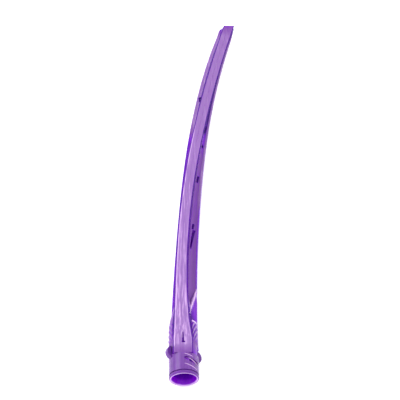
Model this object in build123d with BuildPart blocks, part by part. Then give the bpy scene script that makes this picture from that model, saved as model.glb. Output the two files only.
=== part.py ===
"""Saliva ejector tip: a hand-held dental suction arm moulded as two half shells.

The tip lies as it rests on a tray. The hose socket opens toward -Y with its axis on Y, the arm
runs toward +Y and bends toward +X, and the flat band along the arm faces +Z. The origin is on
the socket's axis where the mouth's flare meets the bore, and distances along Y count from there.
"""
import os
from math import cos, pi, radians, sin

from build123d import *

# --- Driving dimensions, millimetres and degrees -------------------------------------------
OVERALL_LENGTH = 150.0
SPIGOT_D = 6.5                  # standard saliva ejector hose spigot

# Hose socket, all of it turned about the Y axis
BORE_R = SPIGOT_D / 2 + 0.05
BORE_DEPTH = 9.3
MOUTH_R = 4.1                   # the bore flares to this at the open end
MOUTH_FLARE = 2.2
LIP_R = 4.7
LIP_LENGTH = 1.1
TUBE_R = 3.95
TUBE_END = 13.3
VALVE_PORT_R = 2.6

# Rotating vent collar
COLLAR_R = LIP_R
COLLAR_START, COLLAR_END = -0.9, 5.0
RUNNING_GAP = 0.06
EAR_TURN = 29.0                 # how far the collar is turned from level ears, to its open stop
EAR_START, EAR_END = 4.1, 8.3
EAR_R = 6.1
EAR_THICKNESS = 1.5
VENT_ANGLE = 35.0               # from the top toward +X
VENT_PLACE = 2.4
VENT_HOLE_R = 0.7
VENT_SLOT = (5.2, 1.3)
VENT_SLANT = 16.0

# Housing around the socket
HOUSING_START = 5.2
NECK_R = 4.35
SHOULDER_R = 4.65
ARM_START = 9.8
TAIL_START, TAIL_END = 14.3, 30.8
TAIL_WIDTH, TAIL_HEIGHT = 1.6, 2.9
TAIL_CORE = 1.0                 # the tail's outline starts this far out, inside the arm
LOCK_START, LOCK_LENGTH, LOCK_FLAT = 10.8, 1.4, 3.6
VALVE_FLANGE = 0.8
RETAINER_LENGTH = 1.2
BILL_LENGTH, BILL_WIDTH, BILL_TIP, BILL_WALL = 3.3, 4.4, 0.9, 0.35
SEAT_CLEARANCE = 0.05
SEAT_R = 3.45

# Arm: a wide back flange, a narrow front band and a scooped groove on each side
BEND_HOLD = 33.7                # first handle of the bend: the arm leaves the socket straight
BEND_PULL = (1.4, 92.0, -2.3)    # second handle
TIP_SIDE, TIP_DROP = 19.5, -1.0
TWIST = 16.0
TWIST_START, TWIST_END = 5.0, 300.0   # the twist follows this much of a sine along the arm
ROOT_DEPTH, ARM_DEPTH, TIP_DEPTH = 9.6, 5.8, 4.8
ROOT_BAND, ARM_BAND = 6.3, 3.85
ROOT_FLANGE, ARM_FLANGE, TIP_FLANGE = 9.4, 8.25, 5.9
TIP_NARROWING = 0.6
BAND_THICKNESS, FLANGE_THICKNESS = 1.2, 1.3
GROOVE_UNDERCUT = 0.35
GROOVE_STEPS = 4                 # the groove's curve is drawn in straight steps
EDGE_BREAK, ROOT_EDGE_BREAK = 0.25, 0.9
SEAM_GAP, SEAM_CHAMFER = 0.01, 0.14
ARM_SECTIONS, TAIL_SECTIONS, CHANNEL_SECTIONS = 20, 10, 12

# Suction channel, bend wire, inlets and grip
CHANNEL_WIDTH = 2.1
CHANNEL_CORNER = 0.29            # chamfer as a share of the smaller side: an octagon where square
CHANNEL_ROOF, CHANNEL_FLOOR = 1.2, 1.5
PLENUM_R = 2.4
WIRE_R, WIRE_BORE_R, WIRE_COVER = 0.35, 0.38, 0.78
WIRE_SECTIONS = 12
INLET_COUNT, FIRST_INLET, INLET_PITCH = 4, 52.0, 23.7
INLET_LENGTH, INLET_SHORTENING, INLET_WIDTH = 6.8, 0.9, 1.0
INLET_SLANT = 14.0
GRIP_RIBS, GRIP_PITCH, GRIP_CUT = 4, 1.3, 0.3
DISH_PLACE = 22.6
DISH_CENTRE = (3.6, -0.4)      # in the arm's section, between the band and the flange's edge
DISH_FACING, DISH_TILT = 40.0, 4.0
DISH_LENGTH, DISH_HEIGHT, DISH_DROP = 16.0, 5.0, 1.0
DISH_RIM, DISH_RIM_HEIGHT, DISH_BACKING = 0.35, 0.3, 1.5
INDEX_START, INDEX_LENGTH, INDEX_BAR, INDEX_WIDTH, INDEX_CUT = 8.3, 3.8, 1.4, 0.5, 0.55

# Soft tip
CAP_LENGTH = 4.5
CAP_ROUND = 0.55
PLUG_LENGTH = 2.6
CAP_BORE = (1.3, 1.4)
GRILLE_SLOTS, GRILLE_PITCH, GRILLE_SLOT = 4, 1.0, (0.5, 2.3)

spine = Bezier(
    (0, ARM_START, 0),
    (0, BEND_HOLD, 0),
    BEND_PULL,
    (TIP_SIDE, OVERALL_LENGTH - MOUTH_FLARE, TIP_DROP),
)
SHELL_END = 1 - CAP_LENGTH / spine.length


# --- Shape rules along the arm ---------------------------------------------------------------
def along(distance):
    """Turn a distance along Y near the socket into a fraction of the spine."""
    return (distance - ARM_START) / spine.length


def across(distance):
    """A plane square to the socket's axis, facing its mouth."""
    return Plane.XZ.offset(-distance)


def section_plane(t):
    """Cross-section plane on the spine: x to the right and y toward the band, with the twist."""
    heading = spine % t
    level = Plane(origin=spine @ t, x_dir=(heading.Y, -heading.X, 0), z_dir=-heading)
    lean = radians(TWIST) * sin(radians(TWIST_START + (TWIST_END - TWIST_START) * t))
    right = level.x_dir * cos(lean) + level.y_dir * sin(lean)
    return Plane(origin=level.origin, x_dir=right, z_dir=level.z_dir)


def side_plane(t, side):
    """Plane through the spine that faces one side: x toward the tip, z outward."""
    section = section_plane(t)
    return Plane(origin=section.origin, x_dir=-section.z_dir, z_dir=section.x_dir * side)


def root_flare(t):
    return (1 - t) ** 12


def depth(t):
    return ARM_DEPTH + (TIP_DEPTH - ARM_DEPTH) * t + (ROOT_DEPTH - ARM_DEPTH) * root_flare(t)


def band_width(t):
    return ARM_BAND + (ROOT_BAND - ARM_BAND) * root_flare(t)


def flange_width(t):
    straight = ARM_FLANGE + (TIP_FLANGE - ARM_FLANGE) * t
    return straight + (ROOT_FLANGE - ARM_FLANGE) * root_flare(t) - TIP_NARROWING * t**16


def ease(value, start, end):
    """1 at start, 0 at end, with level ends."""
    share = min(max((value - start) / (end - start), 0), 1)
    return (1 + cos(pi * share)) / 2


def stations(start, end, count):
    """Fractions along the spine, closer together toward the root."""
    return [start + (end - start) * (i / count) ** 1.6 for i in range(count + 1)]


# --- Sections that more than one piece uses --------------------------------------------------
def arm_half(t, side):
    """One half of the arm's outline, from the seam out to the groove and the flange."""
    top = depth(t) / 2
    band = band_width(t) / 2
    flange = flange_width(t) / 2
    break_out = EDGE_BREAK + (ROOT_EDGE_BREAK - EDGE_BREAK) * root_flare(t)
    with BuildSketch(section_plane(t)) as outline:
        with BuildLine():
            upper = Polyline(
                (side * SEAM_GAP, -top),
                (side * SEAM_GAP, top - SEAM_CHAMFER),
                (side * SEAM_CHAMFER, top),
                (side * (band - EDGE_BREAK), top),
                (side * band, top - EDGE_BREAK),
                (side * band, top - BAND_THICKNESS),
            )
            groove = ThreePointArc(
                upper @ 1,
                (side * (band - GROOVE_UNDERCUT), 0),
                (side * flange, FLANGE_THICKNESS - top),
                mode=Mode.PRIVATE,
            )
            Polyline(
                *[groove @ (step / GROOVE_STEPS) for step in range(GROOVE_STEPS + 1)],
                (side * flange, break_out - top),
                (side * (flange - break_out), -top),
                upper @ 0,
            )
        make_face()
    return outline.sketch


def half_round(plane, half_width, half_height, side, inner=SEAM_GAP):
    """Half of a round or oval outline, cut off straight on its inner side."""
    with BuildSketch(plane) as outline:
        with BuildLine():
            chord = Line((side * inner, -half_height), (side * inner, half_height))
            ThreePointArc(chord @ 1, (side * half_width, 0), chord @ 0)
        make_face()
    return outline.sketch


def channel_section(t, clearance=0.0):
    """The suction channel: round behind the valve, then tall and narrow in the arm."""
    tall = depth(t) - CHANNEL_ROOF - CHANNEL_FLOOR
    widening = ease(t, along(TUBE_END + VALVE_FLANGE + RETAINER_LENGTH), along(TAIL_END))
    width = CHANNEL_WIDTH + (2 * PLENUM_R - CHANNEL_WIDTH) * widening - clearance
    height = tall + (2 * PLENUM_R - tall) * widening - clearance
    middle = (CHANNEL_FLOOR - CHANNEL_ROOF) / 2 * (1 - widening)
    with BuildSketch(section_plane(t)) as opening:
        with Locations((0, middle)):
            Rectangle(width, height)
        chamfer(opening.vertices(), min(width, height) * CHANNEL_CORNER)
    return opening.sketch


def lock_flats():
    """Two circle segments, above and below: flats on the tube and ribs in the housing."""
    with BuildSketch(across(LOCK_START)) as segments:
        Circle(TUBE_R)
        Rectangle(2 * TUBE_R, 2 * LOCK_FLAT, mode=Mode.SUBTRACT)
    return segments.sketch


def wire_sections(radius, square=False):
    """The bend wire lies in the back flange, on the seam, in a square bore."""
    first = along(TAIL_START + 4)
    last = SHELL_END - PLUG_LENGTH / spine.length
    discs = []
    for step in range(WIRE_SECTIONS + 1):
        t = first + (last - first) * step / WIRE_SECTIONS
        with BuildSketch(section_plane(t)) as disc:
            with Locations((0, WIRE_COVER - depth(t) / 2)):
                if square:
                    Rectangle(2 * radius, 2 * radius)
                else:
                    Circle(radius)
        discs.append(disc.sketch)
    return discs


# --- Finger dish: a lens facing outward and up, leaning in toward the tip ------------------------
dish_section = section_plane(along(DISH_PLACE))
facing, dish_tilt = radians(DISH_FACING), radians(DISH_TILT)
outward = dish_section.x_dir * cos(facing) + dish_section.y_dir * sin(facing)
tipward = -dish_section.z_dir
dish_plane = Plane(
    origin=dish_section.from_local_coords((*DISH_CENTRE, 0)),
    x_dir=tipward * cos(dish_tilt) - outward * sin(dish_tilt),
    z_dir=outward * cos(dish_tilt) + tipward * sin(dish_tilt),
)
with BuildSketch() as lens:
    with BuildLine():
        lens_top = ThreePointArc(
            (-DISH_LENGTH / 2, 0), (0, DISH_HEIGHT / 2), (DISH_LENGTH / 2, -DISH_DROP)
        )
        ThreePointArc(lens_top @ 1, (0, -DISH_HEIGHT / 2), lens_top @ 0)
    make_face()
dish_outline = lens.sketch

valve_start = TUBE_END
retainer_start = valve_start + VALVE_FLANGE
plenum_start = retainer_start + RETAINER_LENGTH

os.makedirs("parts", exist_ok=True)

# --- Half shells -----------------------------------------------------------------------------
for side, label in ((1, "shell_right"), (-1, "shell_left")):
    with BuildPart() as shell:
        # Arm with its band, groove and flange
        loft([arm_half(t, side) for t in stations(0, SHELL_END, ARM_SECTIONS)], ruled=True)

        # Neck for the collar's ears, then the round shoulder that tapers into the arm
        extrude(half_round(across(HOUSING_START), NECK_R, NECK_R, side), -(ARM_START - HOUSING_START))
        shoulder = []
        for step in range(TAIL_SECTIONS + 1):
            distance = ARM_START + (TAIL_END - ARM_START) * step / TAIL_SECTIONS
            fading = ease(distance, TAIL_START, TAIL_END)
            wide = TAIL_WIDTH + (SHOULDER_R - TAIL_WIDTH) * fading
            tall = TAIL_HEIGHT + (SHOULDER_R - TAIL_HEIGHT) * fading
            plane = section_plane(along(distance))
            shoulder.append(half_round(plane, wide, tall, side, TAIL_CORE))
        loft(shoulder, ruled=True)

        # Band tongue over the neck
        tongue_corner = (side * SEAM_GAP, ROOT_DEPTH / 2 - BAND_THICKNESS)
        with BuildSketch(across(HOUSING_START)):
            with BuildLine():
                Polyline(
                    tongue_corner,
                    (side * SEAM_GAP, ROOT_DEPTH / 2 - SEAM_CHAMFER),
                    (side * SEAM_CHAMFER, ROOT_DEPTH / 2),
                    (side * (ROOT_BAND / 2 - EDGE_BREAK), ROOT_DEPTH / 2),
                    (side * ROOT_BAND / 2, ROOT_DEPTH / 2 - EDGE_BREAK),
                    (side * ROOT_BAND / 2, ROOT_DEPTH / 2 - BAND_THICKNESS),
                    close=True,
                )
            make_face()
        extrude(amount=-(ARM_START - HOUSING_START))

        # Finger dish with a raised rim, bridging the right groove beside the shoulder
        if side == 1:
            with BuildSketch(dish_plane.offset(DISH_RIM_HEIGHT)):
                add(dish_outline)
            extrude(amount=-(DISH_RIM_HEIGHT + DISH_BACKING))
            with BuildSketch(dish_plane):
                add(dish_outline)
                offset(amount=-DISH_RIM, mode=Mode.REPLACE)
            extrude(amount=SHOULDER_R / 2, mode=Mode.SUBTRACT)

        # Seats for the connector tube, the valve's flange and its retainer
        with BuildSketch(across(HOUSING_START)):
            Circle(TUBE_R)
        extrude(amount=-(TUBE_END - HOUSING_START), mode=Mode.SUBTRACT)
        with BuildSketch(across(TUBE_END)):
            Circle(SEAT_R)
        extrude(amount=-(VALVE_FLANGE + RETAINER_LENGTH), mode=Mode.SUBTRACT)

        # Suction channel, open at the arm's end
        channel_start = along(plenum_start - 0.02)
        channel = [channel_section(t) for t in stations(channel_start, SHELL_END, CHANNEL_SECTIONS)]
        loft(channel, ruled=True, mode=Mode.SUBTRACT)

        # Ribs that hold the tube by its flats
        with BuildSketch(across(LOCK_START)):
            add(lock_flats())
            with Locations((-side * TUBE_R + side * SEAM_GAP, 0)):
                Rectangle(2 * TUBE_R, 3 * TUBE_R, mode=Mode.SUBTRACT)
        extrude(amount=-LOCK_LENGTH)

        # Half of the bend wire's bore
        loft(wire_sections(WIRE_BORE_R, square=True), ruled=True, mode=Mode.SUBTRACT)

        # Slanted suction inlets in the groove
        for i in range(INLET_COUNT):
            wall = side_plane(along(FIRST_INLET + INLET_PITCH * i), side)
            with BuildSketch(wall.offset(CHANNEL_WIDTH / 4)):
                SlotOverall(
                    INLET_LENGTH - INLET_SHORTENING * i, INLET_WIDTH, rotation=-side * INLET_SLANT
                )
            extrude(amount=CHANNEL_WIDTH, mode=Mode.SUBTRACT)

        # Grip ribs, left standing between shallow cuts on the shoulder
        grip_middle = ARM_START + GRIP_RIBS * GRIP_PITCH / 2
        grip_wall = Plane(origin=(0, grip_middle, 0), x_dir=(0, 1, 0), z_dir=(side, 0, 0))
        with BuildSketch(grip_wall.offset(SHOULDER_R - GRIP_CUT)):
            with GridLocations(GRIP_PITCH, 1, GRIP_RIBS, 1):
                Rectangle(GRIP_PITCH / 2, SHOULDER_R)
        extrude(amount=1, mode=Mode.SUBTRACT)

        # Engraved index mark on the band's tongue
        with BuildSketch(Plane.XY.offset(ROOT_DEPTH / 2 - INDEX_CUT)):
            with Locations((0, INDEX_START + INDEX_LENGTH / 2)):
                Rectangle(INDEX_WIDTH, INDEX_LENGTH)
            with Locations((0, INDEX_START)):
                Rectangle(INDEX_BAR, INDEX_WIDTH)
        extrude(amount=1, mode=Mode.SUBTRACT)
    shell.part.label = label
    export_step(shell.part, f"parts/{label}.step")

# --- Connector tube --------------------------------------------------------------------------
lip_back = LIP_LENGTH - MOUTH_FLARE
with BuildPart() as connector_tube:
    with BuildSketch(Plane.XY):
        with BuildLine():
            bore = Polyline(
                (MOUTH_R, -MOUTH_FLARE),
                (BORE_R, 0),
                (BORE_R, BORE_DEPTH),
                (VALVE_PORT_R, BORE_DEPTH),
                (VALVE_PORT_R, TUBE_END),
                (TUBE_R, TUBE_END),
                (TUBE_R, lip_back),
                (LIP_R - 0.2, lip_back),
            )
            lip = ThreePointArc(
                bore @ 1,
                (LIP_R, lip_back - LIP_LENGTH / 2),
                (LIP_R - 0.2, -MOUTH_FLARE),
            )
            Line(lip @ 1, bore @ 0)
        make_face()
    revolve(axis=Axis.Y)
    extrude(lock_flats(), -LOCK_LENGTH, mode=Mode.SUBTRACT)
    tilt = radians(VENT_ANGLE)
    vent_plane = Plane(origin=(0, VENT_PLACE, 0), x_dir=(0, 1, 0), z_dir=(sin(tilt), 0, cos(tilt)))
    with BuildSketch(vent_plane):
        Circle(VENT_HOLE_R)
    extrude(amount=LIP_R, mode=Mode.SUBTRACT)
connector_tube.part.label = "connector_tube"
export_step(connector_tube.part, "parts/connector_tube.step")

# --- Vent collar -----------------------------------------------------------------------------
with BuildPart() as vent_collar:
    with BuildSketch(across(COLLAR_START)):
        Circle(COLLAR_R)
        Circle(TUBE_R + RUNNING_GAP, mode=Mode.SUBTRACT)
    extrude(amount=-(COLLAR_END - COLLAR_START))
    for side in (1, -1):
        outward = (side * cos(radians(EAR_TURN)), -side * sin(radians(EAR_TURN)))
        ear_plane = Plane(origin=(0, 0, 0), x_dir=(0, 1, 0), z_dir=(outward[1], 0, -outward[0]))
        with BuildSketch(ear_plane):
            with BuildLine():
                foot = Line((EAR_START, COLLAR_R - 0.05), (EAR_END, COLLAR_R - 0.05))
                ThreePointArc(foot @ 1, ((EAR_START + EAR_END) / 2, EAR_R), foot @ 0)
            make_face()
        extrude(amount=EAR_THICKNESS / 2, both=True)
    with BuildSketch(vent_plane):
        SlotOverall(*VENT_SLOT, rotation=90 - VENT_SLANT)
    extrude(amount=EAR_R, mode=Mode.SUBTRACT)
vent_collar.part.label = "vent_collar"
export_step(vent_collar.part, "parts/vent_collar.step")

# --- Duckbill backflow valve -----------------------------------------------------------------
def bill_section(distance, wall, height):
    """The bill's outline, or with a wall its opening: an octagon that closes to a slit."""
    width = BILL_WIDTH - 2 * wall
    with BuildSketch(across(distance)) as outline:
        Rectangle(width, height - 2 * wall)
        chamfer(outline.vertices(), (height - 2 * wall) * CHANNEL_CORNER)
    return outline.sketch


bill_end = valve_start - BILL_LENGTH
with BuildPart() as backflow_valve:
    with BuildSketch(across(valve_start)):
        Circle(SEAT_R - SEAT_CLEARANCE)
    extrude(amount=-VALVE_FLANGE)
    loft([bill_section(valve_start, 0, BILL_WIDTH), bill_section(bill_end, 0, BILL_TIP)], ruled=True)
    opening = [bill_section(retainer_start, BILL_WALL, BILL_WIDTH), bill_section(bill_end, BILL_WALL, BILL_TIP)]
    loft(opening, ruled=True, mode=Mode.SUBTRACT)
backflow_valve.part.label = "backflow_valve"
export_step(backflow_valve.part, "parts/backflow_valve.step")

# --- Valve retainer --------------------------------------------------------------------------
with BuildPart() as valve_retainer:
    with BuildSketch(across(retainer_start)):
        Circle(SEAT_R - 0.02)
        Circle(PLENUM_R, mode=Mode.SUBTRACT)
        with PolarLocations(PLENUM_R, 4, start_angle=45):
            Circle(0.4, mode=Mode.SUBTRACT)
    extrude(amount=-RETAINER_LENGTH)
valve_retainer.part.label = "valve_retainer"
export_step(valve_retainer.part, "parts/valve_retainer.step")

# --- Malleable bend wire ---------------------------------------------------------------------
with BuildPart() as bend_wire:
    loft(wire_sections(WIRE_R), ruled=True)
bend_wire.part.label = "bend_wire"
export_step(bend_wire.part, "parts/bend_wire.step")


# --- Soft strainer tip -----------------------------------------------------------------------
def cap_section(t, scale):
    """The arm's outline with its grooves filled and its corners rounded."""
    top = depth(t) / 2 * scale
    band = band_width(t) / 2 * scale
    flange = flange_width(t) / 2 * scale
    ledge = FLANGE_THICKNESS - top
    with BuildSketch(section_plane(t)) as outline:
        with BuildLine():
            Polyline(
                (-band, top), (band, top), (flange, ledge), (flange, -top),
                (-flange, -top), (-flange, ledge), close=True,
            )
        make_face()
        fillet(outline.vertices(), CAP_ROUND)
    return outline.sketch


with BuildPart() as tip_strainer:
    cap = [cap_section(SHELL_END, 1.0), cap_section((SHELL_END + 1) / 2, 0.98), cap_section(1, 0.88)]
    loft(cap, ruled=True)
    base = section_plane(SHELL_END)
    plug_middle = (CHANNEL_FLOOR - CHANNEL_ROOF) / 2
    extrude(channel_section(SHELL_END, clearance=0.14), PLUG_LENGTH)
    end = section_plane(1)
    with BuildSketch(base.offset(PLUG_LENGTH)):
        with Locations((0, plug_middle)):
            RectangleRounded(*CAP_BORE, 0.4)
    extrude(amount=-(PLUG_LENGTH + 1.5), mode=Mode.SUBTRACT)
    with BuildSketch(end.offset(0.8)):
        RectangleRounded(4.0, GRILLE_SLOT[1] + 0.3, 0.6)
    extrude(amount=CAP_LENGTH - 2.2, mode=Mode.SUBTRACT)
    with BuildSketch(end.offset(-0.2)):
        with GridLocations(GRILLE_PITCH, 1, GRILLE_SLOTS, 1):
            SlotOverall(GRILLE_SLOT[1], GRILLE_SLOT[0], rotation=90)
    extrude(amount=1.2, mode=Mode.SUBTRACT)
tip_strainer.part.label = "tip_strainer"
export_step(tip_strainer.part, "parts/tip_strainer.step")
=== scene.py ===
"""Looks of the saliva ejector tip: moulded purple plastic on a white table, in soft studio light."""
from bisect import bisect_left
from math import atan2, copysign, cos, hypot, pi, radians, sin

import bmesh
import bpy
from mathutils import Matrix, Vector


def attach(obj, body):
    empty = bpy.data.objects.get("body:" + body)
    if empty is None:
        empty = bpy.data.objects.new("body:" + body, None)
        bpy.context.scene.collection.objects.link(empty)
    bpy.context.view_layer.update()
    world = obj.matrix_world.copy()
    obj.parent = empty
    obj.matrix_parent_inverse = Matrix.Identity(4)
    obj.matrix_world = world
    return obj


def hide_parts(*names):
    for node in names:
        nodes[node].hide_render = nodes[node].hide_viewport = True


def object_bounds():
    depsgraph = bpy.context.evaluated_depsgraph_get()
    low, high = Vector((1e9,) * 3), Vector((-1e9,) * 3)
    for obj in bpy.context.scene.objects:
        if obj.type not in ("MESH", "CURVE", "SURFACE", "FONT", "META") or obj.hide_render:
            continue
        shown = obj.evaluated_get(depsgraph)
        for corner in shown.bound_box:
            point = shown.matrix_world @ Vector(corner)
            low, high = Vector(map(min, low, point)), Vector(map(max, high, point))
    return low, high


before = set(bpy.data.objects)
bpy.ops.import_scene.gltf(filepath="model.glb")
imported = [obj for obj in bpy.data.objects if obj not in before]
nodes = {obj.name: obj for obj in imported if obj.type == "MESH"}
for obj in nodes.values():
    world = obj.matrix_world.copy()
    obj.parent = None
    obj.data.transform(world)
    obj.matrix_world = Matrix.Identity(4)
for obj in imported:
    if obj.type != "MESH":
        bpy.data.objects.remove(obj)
cad_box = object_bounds()
LOW, HIGH = (Vector(corner) for corner in cad_box)

# --- Camera: an upright portrait of the tip, seen from its mouth end --------------------------
VIEW_AZIMUTH, VIEW_ELEVATION = radians(1.57), radians(54.01)
VIEW_DISTANCE = 0.39532
VIEW_TARGET = Vector((0.00682, 0.06644, 0.0))
LENS, SENSOR = 102.99, 36.0
CLIP_START, CLIP_END = 0.01, 20


def add_camera():
    forward = Vector((
        sin(VIEW_AZIMUTH) * cos(VIEW_ELEVATION),
        cos(VIEW_AZIMUTH) * cos(VIEW_ELEVATION),
        -sin(VIEW_ELEVATION),
    ))
    data = bpy.data.cameras.new("camera")
    data.lens, data.sensor_width = LENS, SENSOR
    data.clip_start, data.clip_end = CLIP_START, CLIP_END
    camera = bpy.data.objects.new("camera", data)
    camera.location = VIEW_TARGET - forward * VIEW_DISTANCE
    camera.rotation_euler = forward.to_track_quat("-Z", "Y").to_euler()
    bpy.context.scene.collection.objects.link(camera)
    bpy.context.scene.camera = camera


# --- The arm's route and section rules, in millimetres along the socket's axis and the spine --
MM = 0.001
ARM_START, HOUSING_START = 9.8, 5.02
SPINE = [Vector(p) for p in ((0, ARM_START, 0), (0, 33.7, 0), (1.4, 92.0, -2.3), (19.5, 147.8, -1.0))]
SAMPLES = 2000
TWIST, TWIST_FROM, TWIST_TO = 16.0, 5.0, 300.0
CAP_LENGTH, PLUG_LENGTH = 4.5, 2.6
SEAM, SEAM_BREAK = 0.01, 0.03

# Section sizes at the root of the arm, their loss along it, and the gain where it flares into
# the socket
DEPTH, DEPTH_LOSS, DEPTH_FLARE = 5.8, 1.0, 3.8
BAND, BAND_FLARE = 3.85, 2.45
FLANGE, FLANGE_LOSS, FLANGE_FLARE, FLANGE_TIP_LOSS = 8.25, 2.35, 1.15, 0.6
FLARE_POWER, TIP_POWER = 12, 16
BAND_WALL, FLANGE_WALL, UNDERCUT = 1.2, 1.3, 0.35
EDGE, FLANGE_EDGE, FLANGE_EDGE_FLARE = 0.22, 0.26, 0.6

# Tones along the outline, from 0, deepest, to 1, lightest: the band at its own colour, painted shade on
# the walls, sides, back and inside, a painted shadow line beside the band, and painted highlights on rims
# and lines. The rim's painted highlight stays light under the streaks.
TONE_BAND, TONE_HIGHLIGHT_LINE, TONE_RIM_HIGHLIGHT, TONE_LIT, TONE_MIDDLE, TONE_GROOVE = 0.875, 1.0, 1.15, 0.9, 0.7, 0.5
TONE_BACK_SHADE, TONE_EDGE_SHADE, TONE_INSIDE_SHADE, TONE_WALL_SHADE, TONE_SHADOW = 0.4, 0.2, 0.1, 0.04, 0.0


def bezier(share):
    """A point of the spine and its heading, at a share of the curve's parameter."""
    a, b, c, d = SPINE
    rest = 1 - share
    point = a * rest**3 + b * 3 * share * rest**2 + c * 3 * share**2 * rest + d * share**3
    heading = (b - a) * 3 * rest**2 + (c - b) * 6 * share * rest + (d - c) * 3 * share**2
    return point, heading.normalized()


LENGTHS = [0.0]
for step in range(SAMPLES):
    LENGTHS.append(LENGTHS[-1] + (bezier((step + 1) / SAMPLES)[0] - bezier(step / SAMPLES)[0]).length)
ARM_LENGTH = LENGTHS[-1]
SHELL_END = ARM_START + ARM_LENGTH - CAP_LENGTH
ARM_END = ARM_START + ARM_LENGTH


def fraction(distance):
    """How far along the arm a distance is, from 0 at the socket to 1 at the spine's end."""
    return max(0.0, (distance - ARM_START) / ARM_LENGTH)


def station(distance):
    """The section's origin and its directions to the right, to the band and to the tip."""
    travelled = distance - ARM_START
    if travelled <= 0:
        point, heading = Vector((0, distance, 0)), Vector((0, 1, 0))
    else:
        index = min(bisect_left(LENGTHS, travelled), SAMPLES)
        before = LENGTHS[index - 1]
        share = (index - 1 + (travelled - before) / (LENGTHS[index] - before)) / SAMPLES
        point, heading = bezier(share)
    level = Vector((heading.y, -heading.x, 0)).normalized()
    raised = level.cross(heading)
    lean = radians(TWIST) * sin(radians(TWIST_FROM + (TWIST_TO - TWIST_FROM) * fraction(distance)))
    right = level * cos(lean) + raised * sin(lean)
    return point, right, right.cross(heading), heading


def place(distance, across, up):
    """A section's point in metres."""
    point, right, raised, heading = station(distance)
    return (point + right * across + raised * up) * MM


def flare(distance):
    return (1 - fraction(distance)) ** FLARE_POWER


def half_depth(distance):
    return (DEPTH - DEPTH_LOSS * fraction(distance) + DEPTH_FLARE * flare(distance)) / 2


def half_band(distance):
    return (BAND + BAND_FLARE * flare(distance)) / 2


def half_flange(distance):
    t = fraction(distance)
    wide = FLANGE - FLANGE_LOSS * t + FLANGE_FLARE * flare(distance) - FLANGE_TIP_LOSS * t**TIP_POWER
    return wide / 2


def ease(value, start, end):
    """1 at start, 0 at end, with level ends."""
    share = min(max((value - start) / (end - start), 0), 1)
    return (1 + cos(pi * share)) / 2


def corner(centre, radius, start, end, count):
    """Points of a rounded corner, from one angle to another."""
    angles = [radians(start + (end - start) * i / count) for i in range(count + 1)]
    return [(centre[0] + radius * cos(a), centre[1] + radius * sin(a)) for a in angles]


def between(a, b, count):
    """Points from a toward b, without b."""
    return [(a[0] + (b[0] - a[0]) * i / count, a[1] + (b[1] - a[1]) * i / count) for i in range(count)]


def arc_through(a, b, c, count):
    """Points of the circle's arc from a through b to c."""
    ax, ay, bx, by, cx, cy = *a, *b, *c
    d = 2 * (ax * (by - cy) + bx * (cy - ay) + cx * (ay - by))
    sa, sb, sc = ax * ax + ay * ay, bx * bx + by * by, cx * cx + cy * cy
    ox = (sa * (by - cy) + sb * (cy - ay) + sc * (ay - by)) / d
    oy = (sa * (cx - bx) + sb * (ax - cx) + sc * (bx - ax)) / d
    first, last = atan2(ay - oy, ax - ox), atan2(cy - oy, cx - ox)
    middle = atan2(by - oy, bx - ox)
    turn = (last - first) % (2 * pi)
    if (middle - first) % (2 * pi) > turn:
        turn -= 2 * pi
    radius = hypot(ax - ox, ay - oy)
    return [(ox + radius * cos(first + turn * i / count), oy + radius * sin(first + turn * i / count))
            for i in range(count + 1)]


# --- The outline, with the tone of each point: its painted light and shade --------------------
# Point counts of its stretches, the painted highlight line's distance from the edge and its width, the
# gaps between a rounded corner and the next point, how much of the groove is painted dark as shadow or
# left out, and how much the wall's painted shade lightens where the arm flares
BAND_COUNT, WALL_COUNT, GROOVE_COUNT, SIDE_COUNT, BACK_COUNT = 7, 4, 26, 3, 4
LINE_INSET, LINE_WIDTH = 0.3, 0.16
EDGE_STEP, SIDE_STEP, BACK_STEP = 0.08, 0.05, 0.1
DARK_GROOVE_POINTS, GROOVE_END_POINTS, WALL_FLARE_SHADE_LIFT = 5, 2, 0.3


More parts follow.
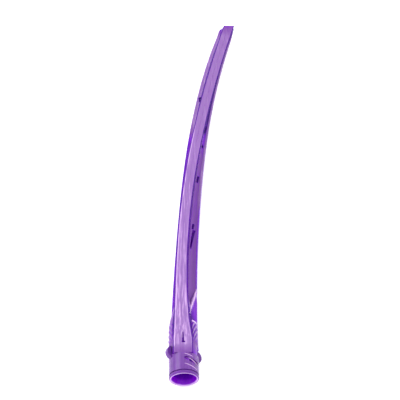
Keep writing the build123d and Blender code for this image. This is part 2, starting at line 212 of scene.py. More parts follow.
def outer_half(distance, fill=0.0, highlight_line_tone=TONE_BAND):
    """The right half of the outline, from the seam on the band round to the seam on the back, with a
    painted highlight line near the band's edge and painted shade on the band's wall, the groove's foot,
    the flange's side and the back.
    """
    top, band, flange = half_depth(distance), half_band(distance), half_flange(distance)
    low = EDGE + FLANGE_EDGE_FLARE * flare(distance)
    points, tones = [], []

    def add(more, tone):
        points.extend(more)
        tones.extend([tone] * len(more))

    add([(SEAM, top - SEAM_BREAK)], TONE_BAND)
    inner_edge = band - EDGE - LINE_INSET
    add(between((SEAM + SEAM_BREAK, top), (inner_edge, top), BAND_COUNT), TONE_BAND)
    # a painted highlight line along the band's edge, or the band's own tone where there is none
    add([(inner_edge, top), (inner_edge + LINE_WIDTH, top)], highlight_line_tone)
    # painted shade on the band's side wall, lightened where the arm flares into the socket
    add(corner((band - EDGE, top - EDGE), EDGE, 90, 0, 4), TONE_WALL_SHADE)
    wall_foot = (band, top - BAND_WALL)
    wall_shade_tone = TONE_WALL_SHADE + WALL_FLARE_SHADE_LIFT * flare(distance)
    add(between((band, top - EDGE - EDGE_STEP), wall_foot, WALL_COUNT), wall_shade_tone)
    lip = (flange, FLANGE_WALL - top)
    bulge = band - UNDERCUT + fill * (flange - band + UNDERCUT)
    groove = arc_through(wall_foot, (bulge, 0.0), lip, GROOVE_COUNT)
    # painted shadow at the groove's foot under the band's edge, then the groove's mid tone, darker than
    # the band as painted shade
    add(groove[:DARK_GROOVE_POINTS], TONE_WALL_SHADE)
    add(groove[DARK_GROOVE_POINTS:-GROOVE_END_POINTS], TONE_GROOVE)
    # painted shade on the flange's side and on the back
    add(corner((flange - FLANGE_EDGE, lip[1] - FLANGE_EDGE), FLANGE_EDGE, 50, 0, 3), TONE_EDGE_SHADE)
    add(between((flange, lip[1] - FLANGE_EDGE - SIDE_STEP), (flange, low - top), SIDE_COUNT), TONE_EDGE_SHADE)
    add(corner((flange - low, low - top), low, 0, -90, 4), TONE_EDGE_SHADE)
    add(between((flange - low - BACK_STEP, -top), (SEAM + SEAM_BREAK, -top), BACK_COUNT), TONE_BACK_SHADE)
    add([(SEAM + SEAM_BREAK, -top), (SEAM, SEAM_BREAK - top)], TONE_BACK_SHADE)
    return points, tones


# Where the strips of painted light and shade start and end, counted in points along the outline, and the
# distances over which they come up
WALL_FIRST, WALL_END, LEFT_GROOVE_FIRST = 10, 20, 25
LEFT_MIDDLE_END, LEFT_DARK_END, RIGHT_DARK_END, RIGHT_GROOVE_END, LIP_END = 33, 36, 26, 41, 50
LEFT_LIT, RIGHT_LIT, RIGHT_DEEP = (92, 104), (58, 74), (85, 110)


def shade_groove(shades, distance, side):
    """Painted light and shade in the groove: high up the arm its lips are painted lit, with a painted
    shadow line beside the band.
    """
    if side < 0:
        rising = 1 - ease(distance, *LEFT_LIT)
        strips = ((WALL_END, TONE_SHADOW), (LEFT_MIDDLE_END, TONE_MIDDLE), (LEFT_DARK_END, TONE_SHADOW),
                  (LIP_END, TONE_LIT))
    else:
        rising = 1 - ease(distance, *RIGHT_LIT)
        right_groove_shade = TONE_GROOVE + (TONE_SHADOW - TONE_GROOVE) * (1 - ease(distance, *RIGHT_DEEP))
        strips = ((RIGHT_DARK_END, TONE_SHADOW), (RIGHT_GROOVE_END, right_groove_shade), (LIP_END, TONE_LIT))
    out = list(shades)
    start = WALL_FIRST
    for end, tone in strips:
        for i in range(start, end):
            low = TONE_EDGE_SHADE if side < 0 and i >= LEFT_GROOVE_FIRST else out[i]
            out[i] = low + (tone - low) * rising
        start = end
    return out


# --- Round shoulder beside the socket, with grip ripples --------------------------------------
SHOULDER_R, NECK_R, TAIL_START, TAIL_END = 4.65, 4.35, 14.3, 30.8
TAIL_WIDTH, TAIL_HEIGHT = 1.6, 2.9
NECK_BLEND, NECK_BACK_BLEND, SHOULDER_RISE, BAND_KEEP = 0.8, 0.5, 0.1, 1.2
FILLED = 1.0001  # a point that is scaled by more than this is on the shoulder
GRIP_MIDDLE, GRIP_REACH, GRIP_PITCH, GRIP_LEAN, GRIP_HEIGHT = 13.4, 3.9, 1.8, 1.7, 0.18
GRIP_FADE, GRIP_FULL, GRIP_GAIN, RIGHT_GRIP_SHADING, LEFT_GRIP_SHADING = 1.2, 0.2, 5, 0.5, 0.15


def shoulder(distance, points, tones, side):
    """Fill the groove beside the socket with the round shoulder, out of which the arm grows."""
    if distance > TAIL_END:
        return points, tones
    fading = ease(distance, TAIL_START, TAIL_END)
    wide = TAIL_WIDTH + (SHOULDER_R - TAIL_WIDTH) * fading
    tall = TAIL_HEIGHT + (SHOULDER_R - TAIL_HEIGHT) * fading
    if distance < ARM_START:
        wide = tall = NECK_R + (SHOULDER_R - NECK_R) * ease(distance, ARM_START, ARM_START - NECK_BLEND)
    top = half_depth(distance)
    tall = min(tall, top + SHOULDER_RISE)
    out, shade = [], []
    for (x, y), tone in zip(points, tones):
        reach = hypot(x, y)
        round_reach = 1 / hypot(x / reach / wide, y / reach / tall)
        if distance < ARM_START and y < 0:
            kept = ease(distance, ARM_START, ARM_START - NECK_BACK_BLEND)
            scale = (round_reach + (reach - round_reach) * kept) / reach
        else:
            scale = max(1.0, round_reach / reach)
        if y > top - EDGE * BAND_KEEP and scale > 1:
            scale = 1.0
        if scale > FILLED:
            # the filled shoulder takes the groove's tone, with painted shade along the band's wall
            tone = TONE_GROOVE if len(out) > WALL_END else TONE_WALL_SHADE
            wave = sin(2 * pi * (distance + GRIP_LEAN * y) / GRIP_PITCH)
            near = ease(abs(distance - GRIP_MIDDLE), GRIP_REACH - GRIP_FADE, GRIP_REACH)
            grip = near * min(scale - 1, GRIP_FULL) * GRIP_GAIN
            scale += GRIP_HEIGHT * wave * grip / wide
            # painted light and shade on the ripples: lighter on their crests, darker in their troughs,
            # more on the right
            tone += (RIGHT_GRIP_SHADING if side > 0 else LEFT_GRIP_SHADING) * wave * grip
        out.append((x * scale, y * scale))
        shade.append(tone)
    return out, shade


# --- Finger dish on the right: it runs out through the flange's edge --------------------------
# Its near rim runs square across the dish's plane. Its far rim slants, and is given at the
# plane's middle and by its slope.
DISH_PLACE, DISH_CENTRE = 22.6, (3.6, -0.4)
DISH_FACING, DISH_TILT = radians(40), radians(4)
DISH_NEAR, DISH_FAR, DISH_FAR_SLOPE, DISH_TOP = -5.3, 5.3, -2.71, 2.9
DISH_RIM, DISH_RIM_HEIGHT, DISH_DEPTH, DISH_BLEND, DISH_BELOW = 0.6, 0.25, 0.85, 1.0, 3.0
# The dish's painted shade: its tone, how much darker it is painted upward across it and lighter toward
# the tip, and that tone's limits
DISH_SHADE_TONE, DISH_SHADE_UP, DISH_SHADE_TIPWARD, DISH_SHADE_LIMITS = 0.2, 0.1, 0.03, (0.01, 0.34)
DISH_BAND_MARGIN, DISH_BACK_MARGIN, FLANGE_MARGIN = 1.0, 1.1, 0.05


def dish_frame():
    """The dish plane's origin, and its directions to the tip, to the band and out."""
    point, right, raised, heading = station(DISH_PLACE)
    out = right * cos(DISH_FACING) + raised * sin(DISH_FACING)
    facing = out * cos(DISH_TILT) + heading * sin(DISH_TILT)
    tipward = heading * cos(DISH_TILT) - out * sin(DISH_TILT)
    origin = point + right * DISH_CENTRE[0] + raised * DISH_CENTRE[1]
    return origin, tipward, facing.cross(tipward), facing


DISH = dish_frame()


def carve_dish(point, tone, fills):
    """Move a point of the right shell onto the dish or its far rim; returns it with its tone: a painted
    highlight on the rims and painted shade in the hollow.
    """
    origin, tipward, upward, facing = DISH
    offset = point - origin
    a, b, height = offset.dot(tipward), offset.dot(upward), offset.dot(facing)
    near = a - DISH_NEAR
    far = (DISH_FAR + DISH_FAR_SLOPE * b - a) / hypot(1, DISH_FAR_SLOPE)
    # the shoulder's edge at the near rim is painted as a highlight
    if fills and -DISH_RIM < near <= 0 < far:
        return point, TONE_RIM_HIGHLIGHT
    if min(near, far, DISH_TOP - b) <= 0 or height < -DISH_BELOW:
        return point, tone
    # the far rim is painted as a highlight; the hollow is painted in shade
    if far < DISH_RIM:
        target, tone_there = DISH_RIM_HEIGHT, TONE_RIM_HIGHLIGHT
    else:
        hollow = 1 - ease(min(near, far), DISH_RIM, DISH_RIM + DISH_BLEND)
        target = DISH_RIM_HEIGHT * (1 - hollow) - DISH_DEPTH * hollow
        deepest, lightest = DISH_SHADE_LIMITS
        tone_there = min(max(DISH_SHADE_TONE - DISH_SHADE_UP * b + DISH_SHADE_TIPWARD * a, deepest), lightest)
    if height > target or fills:
        return point + facing * (target - height), tone_there
    return point, tone


# --- The cavity: the connector tube's seat, the valve's seat, then the suction channel --------
TUBE_R, TUBE_END, SEAT_R, SEAT_END = 3.97, 13.3, 3.47, 15.3
SEAT_STEP, SAME_STATION = 0.02, 0.015
CHANNEL_WIDE, CHANNEL_WIDENING, CHANNEL_WALL, CHANNEL_MOUTH = 1.05, 1.35, 1.35, 2.4
CHANNEL_RISE, CHANNEL_SQUARE, INNER_COUNT = 0.15, 0.4, 14


def inner_half(distance):
    """The right half of the cavity, from the back up to the band."""
    middle, square = 0.0, 1.0
    if distance <= TUBE_END:
        wide = tall = TUBE_R
    elif distance <= SEAT_END:
        wide = tall = SEAT_R
    else:
        widening = ease(distance, SEAT_END, TAIL_END)
        wide = CHANNEL_WIDE + CHANNEL_WIDENING * widening
        tall = half_depth(distance) - CHANNEL_WALL
        tall = tall + (CHANNEL_MOUTH - tall) * widening
        middle = CHANNEL_RISE * (1 - widening)
        square = CHANNEL_SQUARE + (1 - CHANNEL_SQUARE) * widening
    out = []
    for i in range(INNER_COUNT + 1):
        angle = -pi / 2 + pi * i / INNER_COUNT
        x = wide * max(cos(angle), 0.0) ** square
        y = tall * copysign(abs(sin(angle)) ** square, sin(angle))
        out.append((max(x, SEAM), middle + y))
    return out


# How many sections the housing, the arm's root and the rest of the arm have, and their pitch
HOUSING_COUNT, HOUSING_PITCH, ROOT_COUNT, ROOT_PITCH, ARM_COUNT = 22, 0.2, 92, 0.25, 90


def stations():
    """Distances along the arm, closer together where the shape changes."""
    out = [HOUSING_START + HOUSING_PITCH * i for i in range(HOUSING_COUNT)]
    out += [ARM_START + ROOT_PITCH * i for i in range(ROOT_COUNT)]
    start = out[-1]
    out += [start + (SHELL_END - start) * i / ARM_COUNT for i in range(1, ARM_COUNT + 1)]
    for edge in (TUBE_END, SEAT_END):
        out += [edge, edge + SEAT_STEP]
    out = sorted(set(round(d, 4) for d in out))
    return [d for i, d in enumerate(out) if i == 0 or d - out[i - 1] > SAME_STATION]


# --- Mesh helpers -----------------------------------------------------------------------------
def outward_mesh(name, points, faces):
    mesh = bpy.data.meshes.new(name)
    mesh.from_pydata(points, [], faces)
    work = bmesh.new()
    work.from_mesh(mesh)
    bmesh.ops.recalc_face_normals(work, faces=work.faces)
    work.to_mesh(mesh)
    work.free()
    return mesh


def finish_mesh(mesh, angle):
    """Smooth shading, with sharp edges past an angle in degrees."""
    mesh.polygons.foreach_set("use_smooth", [True] * len(mesh.polygons))
    mesh.set_sharp_from_angle(angle=radians(angle))
    mesh.update()


def build_piece(name, rings, tones, body, angle):
    """A closed skin over rings of points, capped at both ends, with its tone at each point."""
    count = len(rings[0])
    faces = []
    for row in range(len(rings) - 1):
        for i in range(count):
            j = (i + 1) % count
            faces.append((row * count + i, row * count + j, (row + 1) * count + j, (row + 1) * count + i))
    faces.append(tuple(reversed(range(count))))
    faces.append(tuple((len(rings) - 1) * count + i for i in range(count)))
    mesh = outward_mesh(name, [p for ring in rings for p in ring], faces)
    # the tone at each point carries its painted light and shade
    tone_values = mesh.attributes.new("tone", "FLOAT", "POINT").data
    tone_values.foreach_set("value", [t for ring in tones for t in ring])
    finish_mesh(mesh, angle)
    piece = bpy.data.objects.new(name, mesh)
    bpy.context.scene.collection.objects.link(piece)
    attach(piece, body)
    return piece


def prism(outline, origin, right, up, out, near, far):
    """A cutter: an outline in a plane, run from near to far along the plane's normal."""
    count = len(outline)
    rings = [[(origin + right * x + up * y + out * z) * MM for x, y in outline] for z in (near, far)]
    faces = [(i, (i + 1) % count, count + (i + 1) % count, count + i) for i in range(count)]
    faces += [tuple(reversed(range(count))), tuple(range(count, 2 * count))]
    return rings[0] + rings[1], faces


def slot_outline(length, width, turn):
    half, radius = (length - width) / 2, width / 2
    points = corner((half, 0), radius, -90, 90, 10) + corner((-half, 0), radius, 90, 270, 10)
    return [(x * cos(turn) - y * sin(turn), x * sin(turn) + y * cos(turn)) for x, y in points]


def cut(piece, solids, angle):
    """Take solids out of a piece for good."""
    points, faces = [], []
    for solid_points, solid_faces in solids:
        faces += [tuple(len(points) + i for i in face) for face in solid_faces]
        points += solid_points
    cutter = bpy.data.objects.new("cutter", outward_mesh("cutter", points, faces))
    bpy.context.scene.collection.objects.link(cutter)
    modifier = piece.modifiers.new("cut", "BOOLEAN")
    modifier.object, modifier.operation, modifier.solver = cutter, "DIFFERENCE", "EXACT"
    bpy.context.view_layer.update()
    evaluated = piece.evaluated_get(bpy.context.evaluated_depsgraph_get())
    piece.data = bpy.data.meshes.new_from_object(evaluated)
    piece.modifiers.remove(modifier)
    bpy.data.objects.remove(cutter)
    finish_mesh(piece.data, angle)


# --- The half shells --------------------------------------------------------------------------
# Suction inlets as (middle, length) on each side, and the engraved index mark on the band
SHELL_SMOOTH = 38
INLETS = {1: ((51.1, 7.4), (56.3, 2.2), (77.0, 2.8), (92.3, 1.0), (100.5, 3.4)),
          -1: ((51.1, 7.4), (77.0, 2.8), (114.0, 2.4))}
INLET_WIDTH, INLET_UP, INLET_SLANT, INLET_FROM, INLET_TO = 0.56, -0.83, radians(5), 0.5, 5.0
INDEX_START, INDEX_LENGTH, INDEX_BAR, INDEX_WIDTH, INDEX_CUT = 8.3, 3.8, 0.9, 0.4, 0.3
INDEX_POINT, INDEX_RISE = 0.16, 2
# The band's end at the collar is eased down and shaded, and the tones fall a little up the arm
TONGUE_EASE, TONGUE_LENGTH, TONGUE_ABOVE = 0.25, 0.7, 3
MOUTH_SHADE, MOUTH_SHADE_FROM, MOUTH_SHADE_TO = 0.35, 0.4, 3.2
TIPWARD_FADE, TIPWARD = 0.065, (25, 85)


def inlet_cutters(side):
    cutters = []
    for middle, length in INLETS[side]:
        point, right, raised, heading = station(middle)
        outline = slot_outline(length, INLET_WIDTH, -INLET_SLANT)
        origin = point + raised * INLET_UP
        cutters.append(prism(outline, origin, heading, raised, right * side, INLET_FROM, INLET_TO))
    return cutters


def index_cutter():
    """A short bar with a stroke that narrows toward the tip, cut into the band."""
    bar, stroke, point = INDEX_BAR / 2, INDEX_WIDTH / 2, INDEX_POINT / 2
    mark = [(-bar, 0), (bar, 0), (bar, INDEX_WIDTH), (stroke, INDEX_WIDTH), (point, INDEX_LENGTH),
            (-point, INDEX_LENGTH), (-stroke, INDEX_WIDTH), (-bar, INDEX_WIDTH)]
    slope = (half_depth(INDEX_START + INDEX_LENGTH) - half_depth(INDEX_START)) / INDEX_LENGTH
    along_band = Vector((0, 1, slope)).normalized()
    origin = Vector((0, INDEX_START, half_depth(INDEX_START) - INDEX_CUT))
    return prism(mark, origin, Vector((1, 0, 0)), along_band, Vector((0, 0, 1)), 0, INDEX_RISE)


def section(distance, side):
    """The half outline at a distance, with the shades that its place along the arm gives it."""
    highlight_line_tone = TONE_BAND
    if side < 0:
        highlight_line_tone = TONE_HIGHLIGHT_LINE - (TONE_HIGHLIGHT_LINE - TONE_BAND) * (1 - ease(distance, *LEFT_LIT))
    points, shades = outer_half(distance, highlight_line_tone=highlight_line_tone)
    shades = shade_groove(shades, distance, side)
    lowered = TONGUE_EASE * ease(distance, HOUSING_START, HOUSING_START + TONGUE_LENGTH)
    points = [(x, y - lowered) if y > TONGUE_ABOVE else (x, y) for x, y in points]
    points, shades = shoulder(distance, points, shades, side)
    mouth = ease(distance, HOUSING_START + MOUTH_SHADE_FROM, HOUSING_START + MOUTH_SHADE_TO)
    mouthward = 1 - MOUTH_SHADE * mouth
    tipward = 1 - TIPWARD_FADE * (1 - ease(distance, *TIPWARD))
    return points, [shade * mouthward * tipward for shade in shades]


def half_shell(side):
    """The right shell, side 1, or the left one, side -1."""
    name = "shell_right" if side > 0 else "shell_left"
    rings, tones = [], []
    for distance in stations():
        point, right, raised, heading = station(distance)
        top = half_depth(distance)
        ring, tone_ring = [], []
        for (x, y), tone in zip(*section(distance, side)):
            spot = point + right * (side * x) + raised * y
            if side > 0:
                fills = DISH_BACK_MARGIN - top < y < top - DISH_BAND_MARGIN
                spot, tone = carve_dish(spot, tone, fills)
                beyond = (spot - point).dot(right) - max(x, half_flange(distance) - FLANGE_MARGIN)
                spot -= right * max(beyond, 0)
            ring.append(spot * MM)
            tone_ring.append(tone)
        for x, y in inner_half(distance):
            ring.append((point + right * (side * x) + raised * y) * MM)
            # the cavity is painted in shade
            tone_ring.append(TONE_INSIDE_SHADE)
        rings.append(ring)
        tones.append(tone_ring)
    piece = build_piece("skin_" + name, rings, tones, "body", SHELL_SMOOTH)
    cut(piece, inlet_cutters(side) + [index_cutter()], SHELL_SMOOTH)
    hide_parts(name)
    return piece


# --- The soft tip -----------------------------------------------------------------------------
# Its end is cut square to the socket, not to the bent arm, and it runs on a little past the spine.
# Its flange thins and shifts to the left toward the end.
TIP_SKEW, TIP_REACH, TIP_THINNING, TIP_SHIFT = 0.5, 1.2, 0.4, 0.12
TIP_SMOOTH, TIP_STEPS, TIP_FILL, TIP_ROUND, TIP_ROUND_SHRINK = 45, 14, 0.75, 0.45, 0.13
# The tip's painted shade: how much darker it is painted toward its end, how fast that grows, and how dark
# the rounded end is painted
TIP_SHADE, TIP_SHADE_POWER, TIP_END_SHADE = 0.5, 0.8, 0.45
TIP_ROUND_ANGLES = (30, 55, 75, 90)
PLUG_R, PLUG_RISE, PLUG_STEP = 0.95, 0.15, 0.1
STRAINER_PLACES = (-1.5, -0.5, 0.5, 1.5)
STRAINER_SLOT, STRAINER_FROM, STRAINER_TO = (2.3, 0.5), -3.2, 1
TIP_BORE, TIP_BORE_FROM, TIP_BORE_TO = (1.4, 1.1), -3, 2.6


def tip_outline(distance, fill, scale=1.0):
    """The whole outline at the tip, both sides, with its tones."""
    points, shades = outer_half(distance, fill)
    points = [(x * scale, y * scale) for x, y in points]
    left = [(-x, y) for x, y in reversed(points)]
    return points + left, shade_groove(shades, distance, 1) + shade_groove(shades, distance, -1)[::-1]


def tip_piece():
    """The soft tip: the arm's outline run on to a flat end, with its plug and strainer slots."""
    rings, tones = [], []

    def add_ring(distance, outline, shades):
        share = max(0.0, (distance - SHELL_END) / CAP_LENGTH)
        thinned = 1 - TIP_THINNING * share**2
        outline = [(x - TIP_SHIFT * abs(x) * share**2, y * thinned) if y < 0 else (x, y)
                   for x, y in outline]
        rings.append([place(distance + (TIP_SKEW * x + TIP_REACH) * share, x, y) for x, y in outline])
        tones.append(shades)

    count = len(tip_outline(ARM_END, 0)[0])
    turns = [2 * pi * (i + 0.5) / count for i in range(count)]
    plug = [(PLUG_R * sin(a), PLUG_RISE + PLUG_R * cos(a)) for a in turns]
    for distance in (SHELL_END - PLUG_LENGTH, SHELL_END - PLUG_STEP, SHELL_END):
        add_ring(distance, plug, [TONE_BACK_SHADE] * count)
    for i in range(TIP_STEPS + 1):
        distance = SHELL_END + (CAP_LENGTH - TIP_ROUND) * i / TIP_STEPS
        outline, shades = tip_outline(distance, TIP_FILL * (i / TIP_STEPS) ** 2)
        fade = 1 - TIP_SHADE * (i / TIP_STEPS) ** TIP_SHADE_POWER
        add_ring(distance, outline, [t * (1 - TIPWARD_FADE) * fade for t in shades])
    for angle in TIP_ROUND_ANGLES:
        a = radians(angle)
        distance = ARM_END - TIP_ROUND + TIP_ROUND * sin(a)
        outline, shades = tip_outline(distance, TIP_FILL, 1 - TIP_ROUND_SHRINK * (1 - cos(a)))
        add_ring(distance, outline, [t * TIP_END_SHADE for t in shades])
    piece = build_piece("soft_tip", rings, tones, "body", TIP_SMOOTH)
    point, right, raised, heading = station(ARM_END)
    point = point + heading * TIP_REACH
    slots = [prism(slot_outline(*STRAINER_SLOT, pi / 2), point + right * x, right, raised, heading,
                   STRAINER_FROM, STRAINER_TO) for x in STRAINER_PLACES]
    cut(piece, slots, TIP_SMOOTH)
    base, right, raised, heading = station(SHELL_END)
    bore = prism(slot_outline(*TIP_BORE, pi / 2), base + raised * PLUG_RISE, right, raised, heading,
                 TIP_BORE_FROM, TIP_BORE_TO)
    cut(piece, [bore], TIP_SMOOTH)
    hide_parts("tip_strainer")
    return piece


# --- Node helpers -----------------------------------------------------------------------------
NOISE_ROUGHNESS = 0.55


def link(tree, source, target):
    tree.links.new(source, target)


def node(tree, kind, inputs=None, **settings):
    """Add a node, set its properties, and fill its inputs with values or other nodes' sockets."""
    made = tree.nodes.new(kind)
    for name, value in settings.items():
        setattr(made, name, value)
    for name, value in (inputs or {}).items():
        socket = made.inputs[name]
        if isinstance(value, bpy.types.NodeSocket):
            link(tree, value, socket)
        else:
            socket.default_value = value
    return made


def ramp(tree, factor, stops):
    """A colour ramp over a factor: stops are (position, colour)."""
    made = node(tree, "ShaderNodeValToRGB", {"Fac": factor})
    elements = made.color_ramp.elements
    while len(elements) < len(stops):
        elements.new(0.5)
    for element, (position, colour) in zip(elements, stops):
        element.position = position
        element.color = (*colour, 1)
    return made.outputs["Color"]


def span(tree, value, low, high, to_low, to_high):
    made = node(tree, "ShaderNodeMapRange", {
        "Value": value, "From Min": low, "From Max": high, "To Min": to_low, "To Max": to_high,
    })
    return made.outputs["Result"]


def noise(tree, vector, scale, detail):
    made = node(tree, "ShaderNodeTexNoise", {
        "Vector": vector, "Scale": scale, "Detail": detail, "Roughness": NOISE_ROUGHNESS,
    })
    return made.outputs["Fac"]


def object_point(tree):
    return node(tree, "ShaderNodeTexCoord").outputs["Object"]


def stretched(tree, scale):
    """Object coordinates scaled per axis, for streaks along the arm."""
    return node(tree, "ShaderNodeMapping", {"Vector": object_point(tree), "Scale": scale}).outputs[0]


# --- Materials: moulded plastics and the steel wire -------------------------------------------
GRAIN_SCALE, GRAIN_DEPTH, GRAIN_STRENGTH, WAVE_STRENGTH = 2600, 0.00004, 0.5, 1.6
SUBSURFACE_SCALE, COAT_ROUGHNESS, PLASTIC_IOR = 0.0005, 0.12, 1.49
NOISE_LOW, GLOSS_NOISE_LOW, NOISE_HIGH = 0.3, 0.35, 0.7
CLOUD_SCALE, BORE_CLOUD_SCALE = 160.0, 260.0
TONE_STREAK, TONE_BLEND = (2600, 26, 2600), 0.09
BORE_WOBBLE, BORE_FROM, BORE_TO = 0.00005, 0.0025, 0.0050
WELD_REACH, SOFT_EDGE_ANGLE = 0.000002, 32

# Colours by tone for the shell and the tip, from painted shadow through the band's own lilac to the
# painted highlight, and by radius for the connector tube: deep violet in the bore darkened toward the
# axis as painted shade, a painted highlight ring at the lip, then purple outside
TONE_LIGHT_AND_SHADE_COLOURS = [
    (0.0, (0.034, 0.000, 0.15)), (0.12, (0.075, 0.001, 0.27)), (0.28, (0.165, 0.015, 0.48)),
    (0.5, (0.170, 0.062, 0.290)), (0.86, (0.245, 0.130, 0.370)), (1.0, (0.56, 0.36, 0.66)),
]
BORE_SHADE_AND_LIP_HIGHLIGHT = [
    (0.0, (0.03, 0.001, 0.26)), (0.32, (0.13, 0.001, 0.44)), (0.57, (0.19, 0.002, 0.50)),
    (0.63, (0.60, 0.36, 0.72)), (0.74, (0.42, 0.24, 0.55)), (0.80, (0.13, 0.036, 0.26)),
]


def plastic(name, streak=(420, 14, 420), gloss=(0.2, 0.34), translucent=0.35,
            radius=(0.6, 0.25, 1.0), coat=0.06, shine=0.28):
    """Moulded plastic without its colour: flow streaks in the gloss, fine grain, soft light inside."""
    material = bpy.data.materials.new(name)
    material.use_nodes = True
    tree = material.node_tree
    shader = tree.nodes["Principled BSDF"]
    flow = noise(tree, stretched(tree, streak), 1.0, 4.0)
    link(tree, span(tree, flow, GLOSS_NOISE_LOW, NOISE_HIGH, *gloss), shader.inputs["Roughness"])
    fine = noise(tree, object_point(tree), GRAIN_SCALE, 2.0)
    waves = noise(tree, stretched(tree, tuple(s * 0.5 for s in streak)), 1.0, 2.0)
    height = node(tree, "ShaderNodeMath", {0: waves, 1: WAVE_STRENGTH, 2: fine}, operation="MULTIPLY_ADD")
    bump = node(tree, "ShaderNodeBump", {
        "Height": height.outputs[0], "Distance": GRAIN_DEPTH, "Strength": GRAIN_STRENGTH,
    })
    link(tree, bump.outputs["Normal"], shader.inputs["Normal"])
    shader.inputs["Subsurface Weight"].default_value = translucent
    shader.inputs["Subsurface Radius"].default_value = radius
    shader.inputs["Subsurface Scale"].default_value = SUBSURFACE_SCALE
    shader.inputs["Coat Weight"].default_value = coat
    shader.inputs["Coat Roughness"].default_value = COAT_ROUGHNESS
    shader.inputs["IOR"].default_value = PLASTIC_IOR
    shader.inputs["Specular IOR Level"].default_value = shine
    return material


def streaked(name, streak, gloss, stops, **looks):
    """A plastic that is coloured in streaks along the piece, mixed with cloudy patches."""
    material = plastic(name, streak, gloss, **looks)
    tree = material.node_tree
    flow = noise(tree, stretched(tree, streak), 1.0, 4.0)
    cloud = noise(tree, object_point(tree), CLOUD_SCALE, 2.0)
    mixed = node(tree, "ShaderNodeMath", {0: flow, 1: cloud}, operation="ADD").outputs[0]
    half = node(tree, "ShaderNodeMath", {0: mixed, 1: 0.5}, operation="MULTIPLY").outputs[0]
    link(tree, ramp(tree, half, stops), tree.nodes["Principled BSDF"].inputs["Base Color"])
    return material


def colour_with_painted_light_and_shade(material):
    """Colour by each point's tone: the band's own light lilac, painted shade on the walls and in the
    dish, painted highlights on rims and lines.
    """
    tree = material.node_tree
    tone = node(tree, "ShaderNodeAttribute", attribute_name="tone").outputs["Fac"]
    flow = noise(tree, stretched(tree, TONE_STREAK), 1.0, 4.0)
    shift = span(tree, flow, NOISE_LOW, NOISE_HIGH, -TONE_BLEND, TONE_BLEND)
    value = node(tree, "ShaderNodeMath", {0: tone, 1: shift}, operation="ADD").outputs[0]
    link(tree, ramp(tree, value, TONE_LIGHT_AND_SHADE_COLOURS), tree.nodes["Principled BSDF"].inputs["Base Color"])


def paint_bore_shade_and_lip_highlight(material):
    """Purple outside, like the collar, a painted highlight ring at the lip, and deep violet inside the
    bore, painted darker toward the axis as shade.
    """
    tree = material.node_tree
    point = node(tree, "ShaderNodeSeparateXYZ", {"Vector": object_point(tree)})
    flat = node(tree, "ShaderNodeCombineXYZ", {"X": point.outputs["X"], "Z": point.outputs["Z"]})
    radius = node(tree, "ShaderNodeVectorMath", {0: flat.outputs[0]}, operation="LENGTH").outputs["Value"]
    cloud = noise(tree, object_point(tree), BORE_CLOUD_SCALE, 2.0)
    wobble = span(tree, cloud, NOISE_LOW, NOISE_HIGH, -BORE_WOBBLE, BORE_WOBBLE)
    edge = node(tree, "ShaderNodeMath", {0: radius, 1: wobble}, operation="ADD").outputs[0]
    share = span(tree, edge, BORE_FROM, BORE_TO, 0.0, 1.0)
    link(tree, ramp(tree, share, BORE_SHADE_AND_LIP_HIGHLIGHT), tree.nodes["Principled BSDF"].inputs["Base Color"])


def wear(obj, material):
    for slot in obj.material_slots:
        slot.material = material
    if not obj.material_slots:
        obj.data.materials.append(material)


def soften(obj, width):
    """Break the moulded piece's edges and shade it smoothly."""
    weld = obj.modifiers.new("weld", "WELD")
    weld.merge_threshold = WELD_REACH
    bevel = obj.modifiers.new("edges", "BEVEL")
    bevel.width = width
    bevel.segments = 2
    bevel.limit_method = "ANGLE"
    bevel.angle_limit = radians(SOFT_EDGE_ANGLE)
    bevel.use_clamp_overlap = True
    obj.modifiers.new("shading", "WEIGHTED_NORMAL").keep_sharp = True


LILAC = plastic("lilac_shell", translucent=0.2, coat=0.0, shine=0.1)
colour_with_painted_light_and_shade(LILAC)

SOFT_TIP = plastic("soft_tip", (300, 60, 300), (0.3, 0.45), translucent=0.2, coat=0.0, shine=0.1)
colour_with_painted_light_and_shade(SOFT_TIP)

VIOLET = plastic("violet_connector", (120, 60, 120), (0.2, 0.3), translucent=0.5, coat=0.0, shine=0.12)
paint_bore_shade_and_lip_highlight(VIOLET)

PURPLE = streaked("purple_collar", (1500, 40, 1500), (0.18, 0.3), [
    (0.38, (0.105, 0.026, 0.22)), (0.60, (0.155, 0.048, 0.29)),
])

SILICONE = streaked("valve_silicone", (90, 90, 90), (0.35, 0.5), [
    (0.38, (0.60, 0.60, 0.66)), (0.60, (0.74, 0.74, 0.78)),
], radius=(1, 1, 1), coat=0.0)

NATURAL = streaked("retainer_natural", (90, 90, 90), (0.4, 0.55), [
    (0.38, (0.66, 0.65, 0.62)), (0.60, (0.80, 0.79, 0.76)),
], radius=(1, 1, 1), coat=0.0)

STEEL = streaked("wire_steel", (2500, 30, 2500), (0.25, 0.4), [
    (0.38, (0.50, 0.49, 0.46)), (0.60, (0.66, 0.65, 0.62)),
], translucent=0.0, coat=0.0)
STEEL.node_tree.nodes["Principled BSDF"].inputs["Metallic"].default_value = 1.0


# --- Raised ribs beside the collar's vent slot, painted in the highlight tone -----------------
# Each rib: its start angle from the top toward +X, its end angle, and its places along the axis
# at both ends
RIBS = ((2, 38, 4.55, 3.75), (18, 66, 3.1, 1.35), (2, 62, 1.1, -0.35))
RIB_WALL, RIB_R, RIB_END_SHARE = 4.66, 0.13, 0.25
RIB_STEPS, RIB_AROUND, RIB_SMOOTH = 28, 10, 60


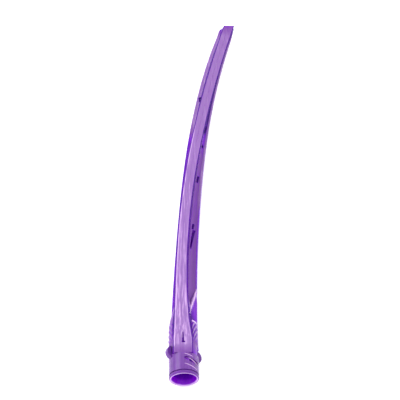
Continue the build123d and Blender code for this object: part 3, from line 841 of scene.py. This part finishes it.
def collar_highlight_rib(index, first, last, start, end):
    """A half-round rib that winds along the collar's wall and tapers at both ends, painted all over in
    the highlight tone.
    """
    rings, tones = [], []
    turns = [2 * pi * k / RIB_AROUND for k in range(RIB_AROUND)]
    for i in range(RIB_STEPS + 1):
        share = i / RIB_STEPS
        angle = radians(first + (last - first) * share)
        out = Vector((sin(angle), 0, cos(angle)))
        middle = out * RIB_WALL + Vector((0, start + (end - start) * share, 0))
        radius = RIB_R * (RIB_END_SHARE + (1 - RIB_END_SHARE) * sin(pi * share) ** 0.5)
        rings.append([(middle + out * (radius * cos(a)) + Vector((0, radius * sin(a), 0))) * MM
                      for a in turns])
        # the rib is painted light all over as a highlight line
        tones.append([TONE_HIGHLIGHT_LINE] * RIB_AROUND)
    return build_piece(f"collar_highlight_rib_{index}", rings, tones, "collar", RIB_SMOOTH)


# --- All the pieces, each with its material ---------------------------------------------------
FINISH = {
    "connector_tube": VIOLET, "vent_collar": PURPLE, "backflow_valve": SILICONE,
    "valve_retainer": NATURAL, "bend_wire": STEEL,
}
for name, material in FINISH.items():
    wear(nodes[name], material)
for name, width in (("connector_tube", 0.0001), ("vent_collar", 0.00018)):
    soften(nodes[name], width)
for side in (1, -1):
    wear(half_shell(side), LILAC)
wear(tip_piece(), SOFT_TIP)
for index, rib in enumerate(RIBS):
    wear(collar_highlight_rib(index + 1, *rib), LILAC)


# --- Table and light --------------------------------------------------------------------------
FLOOR_REACH, FLOOR_GLOW, DAYLIGHT = 3.0, 0.25, 1.5
PAPER_SCALE = 30.0
PAPER = [(0.3, (0.93, 0.93, 0.93)), (0.7, (0.95, 0.95, 0.95))]


def add_floor():
    """A white table under the tip, bright enough to be as white as the photo's background."""
    mesh = bpy.data.meshes.new("floor")
    corners = [(x * FLOOR_REACH, y * FLOOR_REACH, 0) for x, y in ((-1, -1), (1, -1), (1, 1), (-1, 1))]
    mesh.from_pydata(corners, [], [(0, 1, 2, 3)])
    floor = bpy.data.objects.new("floor", mesh)
    floor.location = (0, 0, LOW.z)
    bpy.context.scene.collection.objects.link(floor)
    material = bpy.data.materials.new("white_table")
    material.use_nodes = True
    tree = material.node_tree
    shader = tree.nodes["Principled BSDF"]
    paper = noise(tree, object_point(tree), PAPER_SCALE, 2.0)
    link(tree, ramp(tree, paper, PAPER), shader.inputs["Base Color"])
    shader.inputs["Roughness"].default_value = 0.9
    shader.inputs["Specular IOR Level"].default_value = 0.1
    shader.inputs["Emission Color"].default_value = (1.0, 1.0, 1.0, 1)
    shader.inputs["Emission Strength"].default_value = FLOOR_GLOW
    floor.data.materials.append(material)


def add_softbox(name, azimuth, elevation, distance, size, power):
    """A square softbox that faces the middle of the tip."""
    around, up = radians(azimuth), radians(elevation)
    middle = (LOW + HIGH) / 2
    away = Vector((sin(around) * cos(up), cos(around) * cos(up), sin(up)))
    data = bpy.data.lights.new(name, "AREA")
    data.shape, data.size, data.energy = "SQUARE", size, power
    light = bpy.data.objects.new(name, data)
    light.location = middle + away * distance
    light.rotation_euler = (-away).to_track_quat("-Z", "Y").to_euler()
    bpy.context.scene.collection.objects.link(light)


def add_light():
    world = bpy.data.worlds.new("studio")
    world.use_nodes = True
    background = world.node_tree.nodes["Background"]
    background.inputs["Color"].default_value = (1.0, 1.0, 1.0, 1)
    background.inputs["Strength"].default_value = DAYLIGHT
    bpy.context.scene.world = world
    add_softbox("key_softbox", azimuth=-70, elevation=42, distance=0.9, size=0.5, power=3.0)


add_camera()
add_floor()
add_light()
bpy.context.scene.view_settings.view_transform = "Standard"
